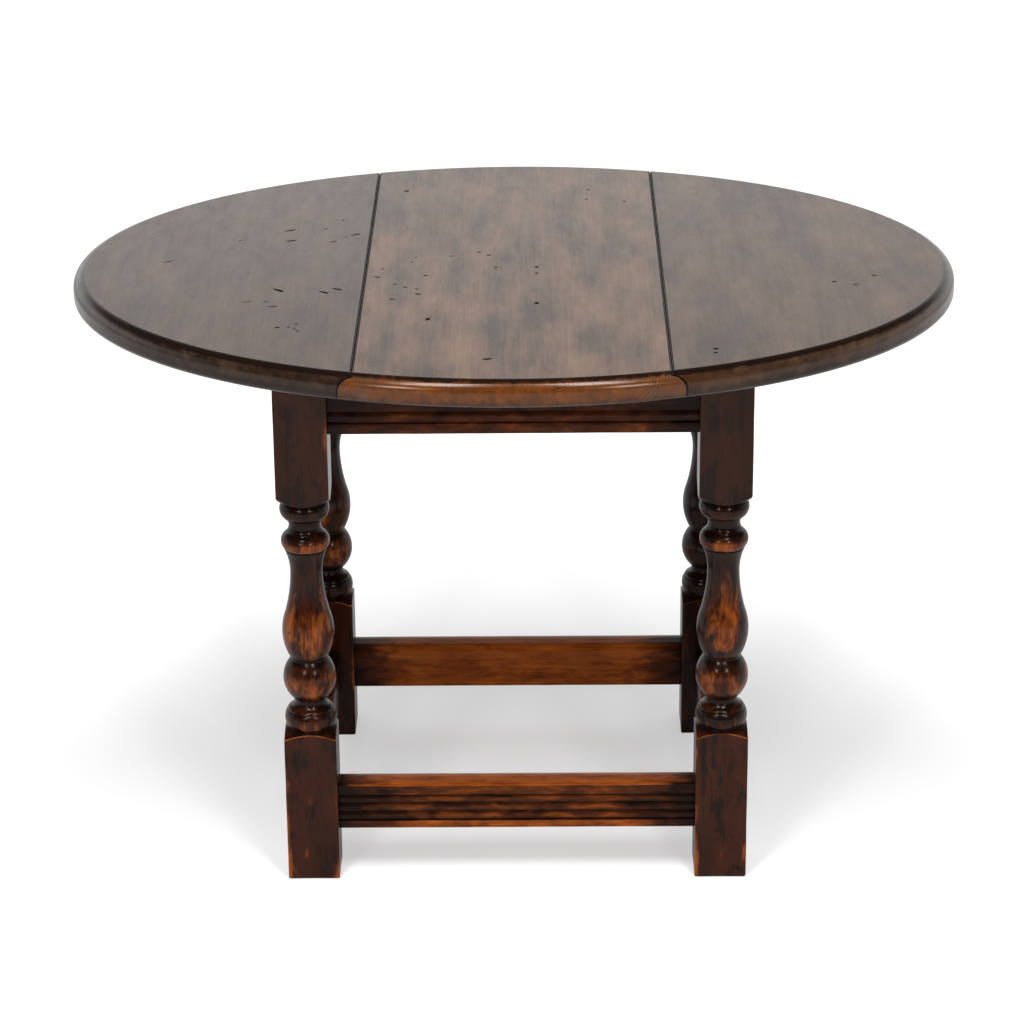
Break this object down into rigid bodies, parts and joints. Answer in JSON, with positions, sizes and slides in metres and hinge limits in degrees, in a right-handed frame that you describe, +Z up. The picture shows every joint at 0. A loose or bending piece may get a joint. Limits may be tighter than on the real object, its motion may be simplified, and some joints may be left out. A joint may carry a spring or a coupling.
{
  "type": "oval folding table",
  "caption": "Low oval oak table: moulded top of a middle board and rule-jointed leaves, turning on a joined base with turned baluster legs, moulded rails and reeded stretchers.",
  "frame": {"origin": "on the floor below the middle of the table", "axes": "+X along the long axis of the oval top, +Y towards the back, +Z up"},
  "size_m": [0.76, 0.614, 0.51],
  "materials": {
    "oak_base": "dark stained oak, waxed",
    "oak_top": "dark stained oak, waxed",
    "brass_hinge": "aged",
    "brass_screw": "aged",
    "pivot_steel": "plain"
  },
  "bodies": {
    "base": {"leg_front_left": "oak_base", "leg_front_right": "oak_base", "leg_rear_left": "oak_base", "leg_rear_right": "oak_base", "rail_front": "oak_base", "rail_rear": "oak_base", "rail_left": "oak_base", "rail_right": "oak_base", "stretcher_front": "oak_base", "stretcher_rear": "oak_base", "stretcher_left": "oak_base", "stretcher_right": "oak_base", "pivot_bearer": "oak_base"},
    "top": {"top_centre_board": "oak_top", "pivot_plate": "pivot_steel", "pivot_plate_screws": "pivot_steel", "pivot_bolt": "pivot_steel", "pivot_washer": "pivot_steel", "pivot_nut": "pivot_steel", "stop_peg": "oak_base", "hinge_left_front_fixed_flap": "brass_hinge", "hinge_left_rear_fixed_flap": "brass_hinge", "hinge_right_front_fixed_flap": "brass_hinge", "hinge_right_rear_fixed_flap": "brass_hinge", "hinge_left_front_pin": "brass_hinge", "hinge_left_rear_pin": "brass_hinge", "hinge_right_front_pin": "brass_hinge", "hinge_right_rear_pin": "brass_hinge", "hinge_screws_centre": "brass_screw"},
    "leaf_left": {"leaf_left": "oak_top", "hinge_left_front_long_flap": "brass_hinge", "hinge_left_rear_long_flap": "brass_hinge", "hinge_screws_left": "brass_screw"},
    "leaf_right": {"leaf_right": "oak_top", "hinge_right_front_long_flap": "brass_hinge", "hinge_right_rear_long_flap": "brass_hinge", "hinge_screws_right": "brass_screw"}
  },
  "joints": [
    {"name": "top_swivel", "type": "hinge", "parent": "base", "child": "top", "pos_m": [0, 0, 0.488], "axis": [0, 0, 1], "range_deg": [0, 90]},
    {"name": "leaf_left_hinge", "type": "hinge", "parent": "top", "child": "leaf_left", "pos_m": [-0.1265, 0, 0.4955], "axis": [0, 1, 0], "range_deg": [0, 3]},
    {"name": "leaf_right_hinge", "type": "hinge", "parent": "top", "child": "leaf_right", "pos_m": [0.1265, 0, 0.4955], "axis": [0, -1, 0], "range_deg": [0, 3]}
  ]
}
